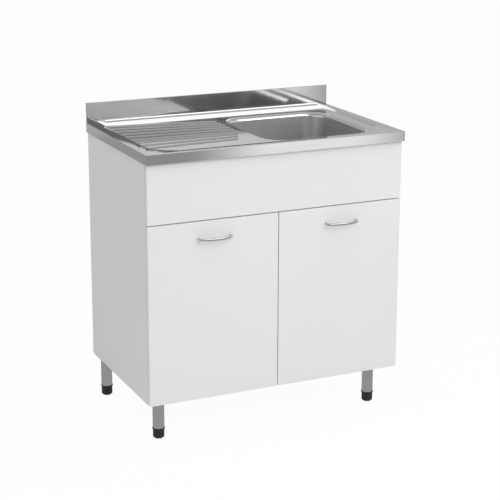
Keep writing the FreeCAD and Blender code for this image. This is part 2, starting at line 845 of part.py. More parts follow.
def make_door(name, side):
    """One overlay door, bored for its hinge cups and handle."""
    body = new_body(f"{name}_door", 0, DOOR_FACE)
    Outline(body, "XZ", -S.panel).rectangle(
        side * (DOOR_EDGE - DOOR_WIDTH), DOOR_LOW, side * DOOR_EDGE, DOOR_HIGH).pad(S.panel)
    cups = [(inward(side, S.cup_centre), z) for z in HINGE_HEIGHTS]
    circles(body, "XZ", -S.panel, cups, S.cup_size / 2 + S.cup_play).pocket(
        S.cup_depth + S.seat_play, back=False)
    wings = [(x - side * S.cup_wing_back, z + sign * S.cup_wing)
             for x, z in cups for sign in (-1, 1)]
    circles(body, "XZ", -S.panel, wings, PILOT).pocket(S.cup_depth, back=False)
    circles(body, "XZ", -S.panel, handle_holes(side), PILOT).pocket(S.panel, back=False)
    return keep(body)


def handle_holes(side):
    """Return the (x, z) centres of the two screws of one handle."""
    middle = side * (DOOR_EDGE - DOOR_WIDTH / 2)
    return [(middle + sign * S.handle_spacing / 2, DOOR_HIGH - S.handle_drop) for sign in (-1, 1)]


def make_handle(name, side):
    """One bowed bar handle on two posts, with the screws that come through the door."""
    middle = side * (DOOR_EDGE - DOOR_WIDTH / 2)
    height = DOOR_HIGH - S.handle_drop
    half = S.handle_length / 2
    bow = (half * half + S.handle_bow * S.handle_bow) / (2 * S.handle_bow)
    bar = S.handle_bar / 2
    centre = DOOR_FACE - S.handle_projection + bar + bow
    body = new_body(f"{name}_handle", middle, centre, height)
    section = circles(body, "YZ", 0, [(-bow, 0)], bar)
    turn = body.newObject("PartDesign::Revolution", f"{name}_handle_bar")
    turn.Profile = section.sketch
    turn.ReferenceAxis = (origin_item(body, "Z_Axis"), [""])
    turn.Midplane = True
    turn.setExpression("Angle", f"2 * asin({half.text} / {bow.text})")
    doc.recompute()
    reach = S.handle_spacing / 2
    posts = [(-reach, 0), (reach, 0)]
    post_end = root(bow * bow - reach * reach)
    circles(body, "XZ", post_end, posts, S.handle_post / 2).pad(
        post_end - (centre - DOOR_FACE), back=True)
    circles(body, "XZ", centre - DOOR_FACE, posts, PILOT).pocket(S.screw_grip, back=False)
    keep(body)

    screws = new_body(f"{name}_handle_screws", 0, DOOR_BACK)
    circles(screws, "XZ", 0, handle_holes(side), HEAD).pad(S.screw_head_rise, back=True)
    circles(screws, "XZ", 0, handle_holes(side), SHANK).pad(S.panel + S.screw_grip - S.seat_play)
    keep(screws)


def make_bumpers(name, side):
    """Two soft discs behind the free edge of one door."""
    body = new_body(f"{name}_door_bumpers", 0, DOOR_BACK)
    x = inward(side, DOOR_WIDTH - S.bumper_inset)
    places = [(x, S.cabinet_base + S.panel / 2), (x, DOOR_HIGH - S.bumper_inset)]
    circles(body, "XZ", 0, places, S.bumper_size / 2).pad(S.door_standoff - S.seat_play, back=True)
    keep(body)


# ---------------------------------------------------------------- hinges

def make_hinges(name, side):
    """Two cup hinges of one door: cups and pins on the door, arms and plates on the side."""
    axis_x = inward(side, S.axis_inset)
    axis_y = DOOR_FACE + S.axis_depth
    cup_x = inward(side, S.cup_centre)
    cups = new_body(f"{name}_hinge_cups")
    cup_screws = new_body(f"{name}_hinge_cup_screws")
    pins = new_body(f"{name}_hinge_pins")
    arms = new_body(f"{name}_hinge_arms")
    plates = new_body(f"{name}_hinge_plates")
    flange_y = DOOR_BACK + S.cup_flange
    wing_x = cup_x - side * S.cup_wing_back
    centres = [(cup_x, z) for z in HINGE_HEIGHTS]
    wings = [(wing_x, z + sign * S.cup_wing) for z in HINGE_HEIGHTS for sign in (-1, 1)]
    circles(cups, "XZ", -DOOR_BACK, centres, S.cup_size / 2).pad(S.cup_depth)
    circles(cups, "XZ", -DOOR_BACK, centres, S.cup_size / 2 + S.cup_rim).pad(
        S.cup_flange, back=True)
    for z in HINGE_HEIGHTS:
        Outline(cups, "XZ", -DOOR_BACK).slot(
            wing_x, z - S.cup_wing, wing_x, z + S.cup_wing, S.cup_wing_width / 2).pad(
            S.cup_flange, back=True)
    circles(cups, "XZ", -flange_y, centres, S.cup_size / 2 - S.cup_wall).pocket(
        S.cup_flange + S.cup_depth - S.cup_wall, back=False)
    circles(cups, "XZ", -flange_y, wings, PILOT).pocket(S.cup_flange, back=False)
    circles(cup_screws, "XZ", -flange_y, wings, HEAD).pad(S.screw_head_rise, back=True)
    circles(cup_screws, "XZ", -flange_y, wings, SHANK).pad(S.cup_depth)
    eye = S.arm_eye / 2
    sheet_half = S.arm_sheet / 2
    outer = inward(side, S.panel + S.plate_sheet - S.side_reveal)
    inner = outer - side * S.arm_sheet
    arm_end = PLATE_Y + S.plate_length / 2
    pin = S.pin_size / 2
    for z in HINGE_HEIGHTS:
        low = z - S.arm_width / 2
        circles(cups, "XY", z - S.cup_size / 2, [(axis_x, axis_y)], pin + S.pin_seat).pocket(
            S.cup_size, back=False)
        circles(pins, "XY", z - S.pin_length / 2, [(axis_x, axis_y)], pin).pad(S.pin_length)
        Outline(arms, "XY", low).polygon([
            (axis_x, axis_y - sheet_half), (inner, axis_y - sheet_half), (inner, arm_end),
            (outer, arm_end), (outer, axis_y + sheet_half),
            (axis_x, axis_y + sheet_half)]).pad(S.arm_width)
        circles(arms, "XY", low, [(axis_x, axis_y)], eye).pad(S.arm_width)
        circles(arms, "XY", low, [(axis_x, axis_y)], pin + S.pin_play).pocket(
            S.arm_width, back=False)
        Outline(plates, "YZ", side * SIDE_INNER).rectangle(
            PLATE_Y - S.plate_length / 2, z - S.arm_width / 2, PLATE_Y + S.plate_length / 2,
            z + S.arm_width / 2).pad(S.plate_sheet, back=side > 0)
        Outline(plates, "YZ", side * SIDE_INNER).slot(
            PLATE_Y, z - S.plate_hole, PLATE_Y, z + S.plate_hole, S.plate_width / 2).pad(
            S.plate_sheet / 2, back=side > 0)
    circles(plates, "YZ", side * (SIDE_INNER - S.plate_sheet / 2), PLATE_HOLES, PILOT).pocket(
        S.plate_sheet / 2, back=side < 0)
    for body in (cups, cup_screws, pins, arms, plates):
        keep(body)


def make_plate_screws():
    """The screws of all the hinge plates."""
    screws = new_body("hinge_plate_screws")
    for side in SIDES.values():
        face = side * (SIDE_INNER - S.plate_sheet / 2)
        circles(screws, "YZ", face, PLATE_HOLES, HEAD).pad(S.screw_head_rise, back=side > 0)
        circles(screws, "YZ", face, PLATE_HOLES, SHANK).pad(S.screw_grip, back=side < 0)
    keep(screws)


# ---------------------------------------------------------------- legs

def make_leg(name, x, y):
    """One leg: the plate with its spigot, the tube and the screw-out foot."""
    plate_low = S.cabinet_base - S.leg_plate_sheet
    bore = S.leg_tube / 2 - S.leg_wall
    plate = new_body(f"{name}_plate", x, y, plate_low)
    half = S.leg_plate_size / 2
    Outline(plate).rounded(-half, -half, half, half, S.rim_corner).pad(S.leg_plate_sheet)
    circles(plate, "XY", 0, [(0, 0)], bore).pad(S.leg_spigot, back=True)
    holes = [(x_sign * S.leg_hole, y_sign * S.leg_hole) for x_sign in (-1, 1) for y_sign in (-1, 1)]
    circles(plate, "XY", 0, holes, PILOT).pocket(S.leg_plate_sheet, back=False)
    keep(plate)

    tube = new_body(f"{name}_tube", x, y, S.foot_height)
    outline = circles(tube, "XY", 0, [(0, 0)], S.leg_tube / 2)
    outline.circle(0, 0, bore)
    outline.pad(plate_low - S.foot_height)
    keep(tube)

    foot = S.foot_size / 2
    lip = S.foot_lip / 2
    stem = bore - S.foot_play
    body = new_body(f"{name}_foot", x, y, 0)
    Outline(body, "XZ").polygon([
        (0, 0), (foot - S.foot_edge, 0), (foot, S.foot_edge),
        (foot, S.foot_height - S.foot_lip_rise), (lip, S.foot_height - S.foot_lip_rise / 2),
        (lip, S.foot_height), (stem, S.foot_height), (stem, S.foot_height + S.foot_stem),
        (0, S.foot_height + S.foot_stem)]).revolve()
    keep(body)


def make_leg_screws():
    """The sixteen screws that hold the leg plates up to the bottom panel."""
    body = new_body("leg_plate_screws", 0, 0, S.cabinet_base - S.leg_plate_sheet)
    circles(body, "XY", 0, LEG_HOLES, HEAD).pad(S.screw_head_rise, back=True)
    circles(body, "XY", 0, LEG_HOLES, SHANK).pad(S.screw_grip)
    keep(body)


# ---------------------------------------------------------------- build and write

def check(items):
    """Stop if any object failed or any sub-part has no valid shape."""
    failed = [item.Name for item in doc.Objects
              if "Invalid" in item.State or "Error" in item.State]
    empty = [item.Label for item in items if item.Shape.isNull() or not item.Shape.isValid()]
    if failed or empty:
        raise RuntimeError(f"failed objects {failed}, sub-parts without a valid shape {empty}")


def main():
    """Build every sub-part and write each one to its own file."""
    make_sink_top()
    make_bowl()
    make_waste()
    for name, side in SIDES.items():
        make_side_panel(name, side)
        make_door(name, side)
        make_handle(name, side)
        make_bumpers(name, side)
        make_hinges(name, side)
    for label, extent in RAILS.items():
        make_cross_member(label, *extent)
    make_dowels()
    make_fascia()
    make_sink_clips()
    make_plate_screws()
    for name, (x, y) in LEGS.items():
        make_leg(name, x, y)
    make_leg_screws()
    doc.recompute()
    check(nodes.values())
    os.makedirs("parts", exist_ok=True)
    for label, item in nodes.items():
        item.Shape.exportStep(f"parts/{label}.step")
        print(f"{label}: {len(item.Shape.Solids)} solids, {item.Shape.Volume:.1f} mm3")
    print(len(nodes), "sub-parts")


main()
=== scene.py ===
"""Looks of a free-standing kitchen sink unit: a pressed steel sink top on a white cabinet.

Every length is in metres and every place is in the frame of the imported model: X along the
width, the doors face -Y, +Z is up, and the floor is at Z = 0.
"""
from __future__ import annotations

import json
import logging
import math
from dataclasses import dataclass, field
from enum import Enum

import bmesh
import bpy
from mathutils import Matrix, Vector

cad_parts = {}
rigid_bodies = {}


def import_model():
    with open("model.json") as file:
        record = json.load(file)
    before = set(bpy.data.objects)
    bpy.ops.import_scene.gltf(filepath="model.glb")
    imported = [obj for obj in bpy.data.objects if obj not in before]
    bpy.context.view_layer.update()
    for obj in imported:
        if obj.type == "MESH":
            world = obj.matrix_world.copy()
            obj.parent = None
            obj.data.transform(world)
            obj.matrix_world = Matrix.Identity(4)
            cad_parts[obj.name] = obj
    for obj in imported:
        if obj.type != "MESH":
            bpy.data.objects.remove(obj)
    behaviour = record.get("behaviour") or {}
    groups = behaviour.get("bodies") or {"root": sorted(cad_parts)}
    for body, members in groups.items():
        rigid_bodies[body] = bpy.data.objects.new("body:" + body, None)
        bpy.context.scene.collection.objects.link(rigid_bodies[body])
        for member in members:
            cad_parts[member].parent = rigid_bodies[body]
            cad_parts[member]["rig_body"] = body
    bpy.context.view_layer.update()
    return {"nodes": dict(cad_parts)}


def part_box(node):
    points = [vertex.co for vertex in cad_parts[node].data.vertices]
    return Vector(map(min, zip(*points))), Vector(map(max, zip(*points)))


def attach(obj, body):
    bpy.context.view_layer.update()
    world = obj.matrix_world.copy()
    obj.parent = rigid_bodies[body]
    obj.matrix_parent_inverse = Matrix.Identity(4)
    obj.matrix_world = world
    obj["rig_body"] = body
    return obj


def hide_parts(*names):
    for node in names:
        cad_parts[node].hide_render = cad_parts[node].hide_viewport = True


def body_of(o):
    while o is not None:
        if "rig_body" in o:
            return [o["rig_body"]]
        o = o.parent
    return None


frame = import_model()

log = logging.getLogger("sink_unit")
logging.basicConfig(level=logging.INFO, format="%(name)s: %(message)s")

Colour = tuple[float, float, float]
Point = tuple[float, float, float]


# ------------------------------------------------------------------ node trees

class Ray(Enum):
    """Kinds of ray that a Light Path node can tell apart."""

    CAMERA = "Is Camera Ray"
    GLOSSY = "Is Glossy Ray"
    TRANSMISSION = "Is Transmission Ray"


class Tree:
    """Short calls for building one node tree."""

    MIX_FIRST, MIX_SECOND, MIX_RESULT = 6, 7, 2

    def __init__(self, owner: bpy.types.ID) -> None:
        """Empty the owner's node tree and keep it.

        Args:
            owner: a material or world that uses nodes.
        """
        owner.use_nodes = True
        self.nodes = owner.node_tree.nodes
        self.links = owner.node_tree.links
        self.nodes.clear()

    def add(self, kind: str, inputs: dict | None = None, **settings: object
            ) -> bpy.types.Node:
        """Add one node.

        Args:
            kind: the node's type without its ShaderNode prefix.
            inputs: socket name or number to a value, or to another node's output.
            settings: the node's own properties.

        Returns:
            The new node.
        """
        node = self.nodes.new(f"ShaderNode{kind}")
        for name, value in settings.items():
            setattr(node, name, value)
        for name, value in (inputs or {}).items():
            socket = node.inputs[name]
            if isinstance(value, bpy.types.NodeSocket):
                self.links.new(value, socket)
            elif isinstance(value, tuple) and socket.type == "RGBA":
                socket.default_value = (*value, 1.0)
            else:
                socket.default_value = value
        return node

    def math(self, operation: str, *values: object) -> bpy.types.NodeSocket:
        """Work out one sum.

        Args:
            operation: the Math node's operation.
            values: numbers or sockets, in order.

        Returns:
            The sum's output, not clamped.
        """
        return self.add("Math", dict(enumerate(values)), operation=operation).outputs[0]

    def coords(self, stretch: Point = (1.0, 1.0, 1.0)) -> bpy.types.NodeSocket:
        """Read object coordinates.

        Args:
            stretch: factor along each axis; a small one draws the pattern out that way.

        Returns:
            The stretched coordinates.
        """
        place = self.add("TexCoord").outputs["Object"]
        return self.add("Mapping", {"Vector": place, "Scale": stretch}).outputs[0]

    def noise(self, vector: bpy.types.NodeSocket, scale: float, detail: float = 3.0,
              roughness: float = 0.5) -> bpy.types.NodeSocket:
        """Make a noise pattern.

        Args:
            vector: the coordinates that it reads.
            scale: how many features fit in a metre.
            detail: the number of finer layers.
            roughness: how strong the finer layers are.

        Returns:
            The pattern's value, mostly between 0.3 and 0.7.
        """
        return self.add("TexNoise", {
            "Vector": vector, "Scale": scale, "Detail": detail, "Roughness": roughness,
        }).outputs[0]

    def spread(self, value: bpy.types.NodeSocket, low: float, high: float,
               start: float = 0.3, end: float = 0.7) -> bpy.types.NodeSocket:
        """Map a pattern's values from start..end to low..high and clamp them.

        Args:
            value: the pattern.
            low: the result at start and before it.
            high: the result at end and past it.
            start: the pattern's value that gives low.
            end: the pattern's value that gives high.

        Returns:
            The mapped values.
        """
        return self.add("MapRange", {
            "Value": value, "From Min": start, "From Max": end, "To Min": low, "To Max": high,
        }).outputs[0]

    def blend(self, factor: bpy.types.NodeSocket, first: Colour, second: Colour
              ) -> bpy.types.NodeSocket:
        """Mix two colours by a pattern.

        Args:
            factor: the pattern, from 0 for the first colour to 1 for the second.
            first: the first colour.
            second: the second colour.

        Returns:
            The mixed colour.
        """
        mix = self.add(
            "Mix", {0: factor, self.MIX_FIRST: first, self.MIX_SECOND: second}, data_type="RGBA")
        return mix.outputs[self.MIX_RESULT]

    def bump(self, height: bpy.types.NodeSocket, strength: float, distance: float
             ) -> bpy.types.NodeSocket:
        """Disturb the normal by a height pattern.

        Args:
            height: the pattern.
            strength: how much of the disturbance is used, from 0 to 1.
            distance: the height in metres that the pattern's value of 1 stands for.

        Returns:
            The disturbed normal.
        """
        return self.add(
            "Bump", {"Height": height, "Strength": strength, "Distance": distance}).outputs[0]

    def surface(self, **inputs: object) -> None:
        """Add the Principled shader and the output.

        Args:
            inputs: socket names, with _ for a space, to values or outputs.
        """
        shader = self.add(
            "BsdfPrincipled", {name.replace("_", " "): value for name, value in inputs.items()})
        self.add("OutputMaterial", {0: shader.outputs[0]})


# ------------------------------------------------------------------ finishes

def shaded(colour: Colour, factor: float) -> Colour:
    """Darken a colour.

    Args:
        colour: the colour.
        factor: what each channel is multiplied by.

    Returns:
        The darker colour.
    """
    return tuple(channel * factor for channel in colour)


@dataclass(frozen=True)
class Finish:
    """A named surface finish; a subclass says how its nodes are made."""

    name: str

    def dress(self, tree: Tree) -> None:
        """Build the finish.

        Args:
            tree: the material's node tree, which is empty.
        """
        raise NotImplementedError

    def material(self) -> bpy.types.Material:
        """Make the finish's material on first use.

        Returns:
            The material.
        """
        found = bpy.data.materials.get(self.name)
        if found is None:
            found = bpy.data.materials.new(self.name)
            self.dress(Tree(found))
        return found


@dataclass(frozen=True)
class SatinSteel(Finish):
    """Rolled stainless sheet with a fine grain along one axis and faint handling marks."""

    colour: Colour = (0.56, 0.56, 0.562)
    roughness: float = 0.09
    spread: float = 0.01
    grain: Point = (6.0, 420.0, 420.0)
    grain_depth: float = 0.0000015

    def dress(self, tree: Tree) -> None:
        """Build grain, handling marks and the metal.

        Args:
            tree: the material's node tree, which is empty.
        """
        lines = tree.noise(tree.coords(self.grain), scale=1.0, detail=2.0)
        marks = tree.noise(tree.coords(), scale=5.5, detail=4.0, roughness=0.6)
        rough = tree.math(
            "ADD", tree.spread(lines, self.roughness - self.spread, self.roughness + self.spread),
            tree.spread(marks, 0.0, self.spread))
        tree.surface(
            Base_Color=tree.blend(
                tree.spread(lines, 0.0, 1.0), self.colour, shaded(self.colour, 0.95)),
            Metallic=1.0, Roughness=rough,
            Normal=tree.bump(lines, strength=0.1, distance=self.grain_depth))


@dataclass(frozen=True)
class Melamine(Finish):
    """White melamine-faced board with a very fine pearl texture."""

    colour: Colour = (0.80, 0.795, 0.785)
    roughness: float = 0.42

    def dress(self, tree: Tree) -> None:
        """Build the pearl texture and the faint tone drift of the board.

        Args:
            tree: the material's node tree, which is empty.
        """
        pearl = tree.noise(tree.coords(), scale=950.0, detail=2.0)
        drift = tree.noise(tree.coords(), scale=2.2, detail=2.0)
        tree.surface(
            Base_Color=tree.blend(
                tree.spread(drift, 0.0, 1.0), self.colour, shaded(self.colour, 0.985)),
            Roughness=tree.spread(pearl, self.roughness - 0.05, self.roughness + 0.05),
            Normal=tree.bump(pearl, strength=0.12, distance=0.00005))


@dataclass(frozen=True)
class Chrome(Finish):
    """Bright plated metal with hairline wear."""

    colour: Colour = (0.62, 0.62, 0.63)
    roughness: float = 0.12

    def dress(self, tree: Tree) -> None:
        """Build hairlines in the roughness and the plating.

        Args:
            tree: the material's node tree, which is empty.
        """
        hairs = tree.noise(tree.coords((40.0, 40.0, 700.0)), scale=1.0, roughness=0.6)
        film = tree.noise(tree.coords(), scale=30.0, roughness=0.6)
        tree.surface(
            Base_Color=tree.blend(
                tree.spread(film, 0.0, 1.0), self.colour, shaded(self.colour, 0.94)),
            Metallic=1.0,
            Roughness=tree.spread(hairs, self.roughness - 0.03, self.roughness + 0.05),
            Normal=tree.bump(hairs, strength=0.05, distance=0.00001))


@dataclass(frozen=True)
class Plated(Finish):
    """Pressed steel with a dull zinc or nickel plate."""

    colour: Colour = (0.52, 0.52, 0.50)
    roughness: float = 0.33

    def dress(self, tree: Tree) -> None:
        """Build the crystalline mottle of the plate.

        Args:
            tree: the material's node tree, which is empty.
        """
        mottle = tree.noise(tree.coords(), scale=260.0, roughness=0.6)
        cloud = tree.noise(tree.coords(), scale=45.0)
        tree.surface(
            Base_Color=tree.blend(
                tree.spread(cloud, 0.0, 1.0), self.colour, shaded(self.colour, 0.84)),
            Metallic=1.0,
            Roughness=tree.spread(mottle, self.roughness - 0.06, self.roughness + 0.1),
            Normal=tree.bump(mottle, strength=0.1, distance=0.00003))


@dataclass(frozen=True)
class Moulded(Finish):
    """Moulded plastic or rubber with a fine spark-eroded grain."""

    colour: Colour = (0.014, 0.014, 0.015)
    roughness: float = 0.5
    grain: float = 1500.0
    depth: float = 0.00008

    def dress(self, tree: Tree) -> None:
        """Build the grain and a slight bloom on the surface.

        Args:
            tree: the material's node tree, which is empty.
        """
        grain = tree.noise(tree.coords(), self.grain, detail=2.0, roughness=0.6)
        bloom = tree.noise(tree.coords(), scale=60.0)
        light = tuple(channel * 1.25 + 0.002 for channel in self.colour)
        tree.surface(
            Base_Color=tree.blend(tree.spread(bloom, 0.0, 1.0), self.colour, light),
            Roughness=tree.spread(grain, self.roughness - 0.08, self.roughness + 0.1),
            Normal=tree.bump(grain, strength=0.35, distance=self.depth))


@dataclass(frozen=True)
class Beech(Finish):
    """Turned beech with short flecks along the grain."""

    colour: Colour = (0.55, 0.36, 0.19)

    def dress(self, tree: Tree) -> None:
        """Build the grain and its flecks.

        Args:
            tree: the material's node tree, which is empty.
        """
        grain = tree.noise(
            tree.coords((30.0, 400.0, 400.0)), scale=1.0, detail=4.0, roughness=0.6)
        tree.surface(
            Base_Color=tree.blend(
                tree.spread(grain, 0.0, 1.0), self.colour, shaded(self.colour, 0.7)),
            Roughness=0.6, Normal=tree.bump(grain, strength=0.2, distance=0.0001))


SHEET_STEEL = SatinSteel("sheet_steel")
BOWL_STEEL = SatinSteel("bowl_steel", roughness=0.36, spread=0.04)
BOARD = Melamine("white_board_face")
EDGE_BAND = Melamine("board_edge_band", colour=(0.86, 0.857, 0.85), roughness=0.3)
HANDLE_CHROME = Chrome("handle_plating", colour=(0.55, 0.55, 0.56), roughness=0.16)
LEG_CHROME = Chrome("leg_plating")
WASTE_CHROME = Chrome("waste_plating", colour=(0.6, 0.6, 0.6), roughness=0.14)
ZINC = Plated("zinc_plate")
FOOT_PLASTIC = Moulded("foot_plastic_grain")
SEAL_RUBBER = Moulded("seal_rubber_grain", colour=(0.02, 0.02, 0.02), roughness=0.62, grain=900.0)
BUMPER_PLASTIC = Moulded("bumper_soft_plastic", colour=(0.7, 0.7, 0.69), roughness=0.35)
NUT_PLASTIC = Moulded("nut_plastic", colour=(0.74, 0.74, 0.73), roughness=0.4, grain=700.0)
DOWEL_BEECH = Beech("dowel_beech")
CHIPBOARD = Moulded("chipboard_core", colour=(0.42, 0.30, 0.18), roughness=0.85, grain=420.0,
                    depth=0.0004)

SLOT_FINISHES: dict[str, Finish] = {
    "sink_steel": SHEET_STEEL,
    "white_board": BOARD,
    "dowel_wood": DOWEL_BEECH,
    "handle_chrome": HANDLE_CHROME,
    "leg_chrome": LEG_CHROME,
    "foot_plastic": FOOT_PLASTIC,
    "zinc_steel": ZINC,
    "seal_rubber": SEAL_RUBBER,
    "bumper_plastic": BUMPER_PLASTIC,
    "waste_plastic": NUT_PLASTIC,
    "waste_steel": WASTE_CHROME,
}

NODE_FINISHES: dict[str, Finish] = {
    "sink_bowl": BOWL_STEEL,
}


# ------------------------------------------------------------------ studio and camera

@dataclass
class PhotoCamera:
    """The camera that was fitted to straight edges of the photograph.

    Its axis passes through axis_px, so the shift is only what the framing needs.
    """

    azimuth: float = math.radians(-24.86)
    elevation: float = math.radians(14.14)
    roll: float = math.radians(0.15)
    distance: float = 4.294
    target: Point = (0.017, 0.0, 0.630)
    frame_px: float = 500.0
    focal_px: float = 1448.0
    axis_px: tuple[float, float] = (250.0, 200.0)
    sensor: float = 36.0

    def place(self) -> None:
        """Make the camera and set it as the scene's camera."""
        data = bpy.data.cameras.new("photo_camera")
        data.sensor_width = self.sensor
        data.lens = self.focal_px / self.frame_px * self.sensor
        data.shift_x = (self.frame_px / 2 - self.axis_px[0]) / self.frame_px
        data.shift_y = (self.axis_px[1] - self.frame_px / 2) / self.frame_px
        camera = bpy.data.objects.new("photo_camera", data)
        bpy.context.scene.collection.objects.link(camera)
        ahead = Vector((
            -math.sin(self.azimuth) * math.cos(self.elevation),
            math.cos(self.azimuth) * math.cos(self.elevation),
            -math.sin(self.elevation)))
        turn = ahead.to_track_quat("-Z", "Y").to_matrix().to_4x4()
        turn = turn @ Matrix.Rotation(self.roll, 4, "Z")
        camera.matrix_world = Matrix.Translation(Vector(self.target) - ahead * self.distance) @ turn
        bpy.context.scene.camera = camera


def facing(place: Point, aim: Point) -> Matrix:
    """Place a flat thing with its face turned to an aim.

    Args:
        place: where its middle is.
        aim: the point that it faces.

    Returns:
        The thing's place and turn.
    """
    turn = (Vector(aim) - Vector(place)).to_track_quat("-Z", "Y")
    return Matrix.Translation(place) @ turn.to_matrix().to_4x4()


def staged(name: str, mesh: bmesh.types.BMesh, paint: bpy.types.Material) -> bpy.types.Object:
    """Turn a bmesh into a thing of the studio, which isn't part of the object.

    Args:
        name: the thing's name.
        mesh: the geometry, already in its place; it is freed.
        paint: the thing's material.

    Returns:
        The new thing.
    """
    data = bpy.data.meshes.new(name)
    mesh.to_mesh(data)
    mesh.free()
    data.materials.append(paint)
    thing = bpy.data.objects.new(name, data)
    bpy.context.scene.collection.objects.link(thing)
    return thing


@dataclass
class Lamp:
    """One soft rectangular lamp; polished metal may or may not show it."""

    name: str
    place: Point
    aim: Point
    size: tuple[float, float]
    power: float
    mirrored: bool = True

    def hang(self) -> None:
        """Add the lamp to the scene, facing its aim."""
        data = bpy.data.lights.new(self.name, "AREA")
        data.shape = "RECTANGLE"
        data.size, data.size_y = self.size
        data.energy = self.power
        lamp = bpy.data.objects.new(self.name, data)
        bpy.context.scene.collection.objects.link(lamp)
        lamp.matrix_world = facing(self.place, self.aim)
        lamp.visible_glossy = self.mirrored


@dataclass
class Card:
    """A plain card that only polished metal shows; it may fade towards its ends in X."""

    name: str
    place: Point
    aim: Point
    size: tuple[float, float]
    tone: float
    fade: float = 0.001

    def stand(self) -> None:
        """Add the card to the studio; it neither lights the object nor shades it."""
        mesh = bmesh.new()
        half = Matrix.Diagonal((self.size[0] / 2, self.size[1] / 2, 1.0, 1.0))
        bmesh.ops.create_grid(
            mesh, x_segments=1, y_segments=1, size=1.0,
            matrix=facing(self.place, self.aim) @ half)
        paint = bpy.data.materials.new(f"{self.name}_paint")
        tree = Tree(paint)
        glow = tree.add("Emission", {"Color": (1.0, 1.0, 1.0), "Strength": self.tone})
        along = tree.add("SeparateXYZ", {0: tree.add("TexCoord").outputs["Object"]}).outputs[0]
        off = tree.math("ABSOLUTE", tree.math("SUBTRACT", along, self.place[0]))
        half_width = self.size[0] / 2
        shown = tree.spread(off, 1.0, 0.0, half_width - self.fade, half_width)
        clear = tree.add("BsdfTransparent").outputs[0]
        mix = tree.add("MixShader", {0: shown, 1: clear, 2: glow.outputs[0]})
        tree.links.new(mix.outputs[0], tree.add("OutputMaterial").inputs[0])
        card = staged(self.name, mesh, paint)
        card.visible_camera = False
        card.visible_diffuse = False
        card.visible_shadow = False


@dataclass
class Studio:
    """A plain white floor and room, soft lamps, and the cards that the steel mirrors."""

    floor_size: float = 24.0
    floor_colour: Colour = (0.92, 0.92, 0.92)
    floor_glow: float = 0.96
    ambient: float = 0.62
    lamps: list[Lamp] = field(default_factory=lambda: [
        Lamp("front_softbox", (0.7, -3.0, 2.75), (0.0, 0.0, 0.6), (4.0, 1.9), 46.0),
        Lamp("overhead", (0.2, -0.6, 3.2), (0.0, 0.0, 0.85), (3.0, 2.0), 22.0, mirrored=False),
    ])
    cards: list[Card] = field(default_factory=lambda: [
        Card("floor_card", (0.0, 0.0, 0.001), (0.0, 0.0, 1.0), (14.0, 14.0), 0.45),
        Card("front_card", (0.0, -5.0, 1.2), (0.0, 0.0, 1.2), (12.0, 2.4), 0.27),
        Card("low_strip_card", (1.54, -3.0, 0.30), (1.54, 0.0, 0.30), (1.30, 0.60), 1.40, 0.36),
        Card("high_strip_card", (2.70, -3.0, 1.60), (2.70, 0.0, 1.60), (0.90, 0.90), 1.15, 0.40),
        Card("back_card", (0.0, 4.0, 3.0), (0.0, 0.0, 3.0), (14.0, 6.0), 0.60),
        Card("back_strip_card", (0.4, 3.9, 1.6), (0.4, 0.0, 1.6), (3.8, 1.0), 0.78, 0.5),
        Card("top_line_card", (2.1, -1.7, 4.4), (2.1, -1.7, 0.0), (4.4, 1.3), 2.4),
        Card("ceiling_card", (0.0, 0.0, 5.5), (0.0, 0.0, 0.0), (14.0, 14.0), 0.58),
    ])

    def build(self) -> None:
        """Make the floor, the room, the lamps and the cards."""
        self.make_floor()
        self.make_room()
        for lamp in self.lamps:
            lamp.hang()
        for card in self.cards:
            card.stand()

    def make_floor(self) -> None:
        """Lay the floor, white where it is seen, with the object's shadow kept."""
        mesh = bmesh.new()
        bmesh.ops.create_grid(mesh, x_segments=1, y_segments=1, size=self.floor_size / 2)
        paint = bpy.data.materials.new("studio_floor_paint")
        tree = Tree(paint)
        matte = tree.add("BsdfDiffuse", {"Color": self.floor_colour})
        glow = tree.add("Emission", {"Color": (1.0, 1.0, 1.0), "Strength": 1.0})
        share = tree.math("MULTIPLY", self.seen_rays(tree), self.floor_glow)
        mix = tree.add("MixShader", {0: share, 1: matte.outputs[0], 2: glow.outputs[0]})
        tree.links.new(mix.outputs[0], tree.add("OutputMaterial").inputs[0])
        staged("studio_floor", mesh, paint)

    @staticmethod
    def seen_rays(tree: Tree) -> bpy.types.NodeSocket:
        """Tell the rays that show the background: camera, glossy and transmission rays.

        Args:
            tree: the node tree that asks.

        Returns:
            1 for such rays and 0 for the others.
        """
        path = tree.add("LightPath")
        shown = [path.outputs[ray.value] for ray in Ray]
        return tree.math("MAXIMUM", tree.math("MAXIMUM", shown[0], shown[1]), shown[2])

    def make_room(self) -> None:
        """Set a room that is seen white all round and lights the object softly."""
        world = bpy.data.worlds.new("studio_room")
        bpy.context.scene.world = world
        tree = Tree(world)
        level = tree.spread(self.seen_rays(tree), self.ambient, 1.0, 0.0, 1.0)
        back = tree.add("Background", {"Color": (1.0, 1.0, 1.0), "Strength": level})
        tree.links.new(back.outputs[0], tree.add("OutputWorld").inputs[0])


# ------------------------------------------------------------------ making pieces

# The weight at which a normal follows the largest face beside it.
LARGE_FACES_ONLY = 100


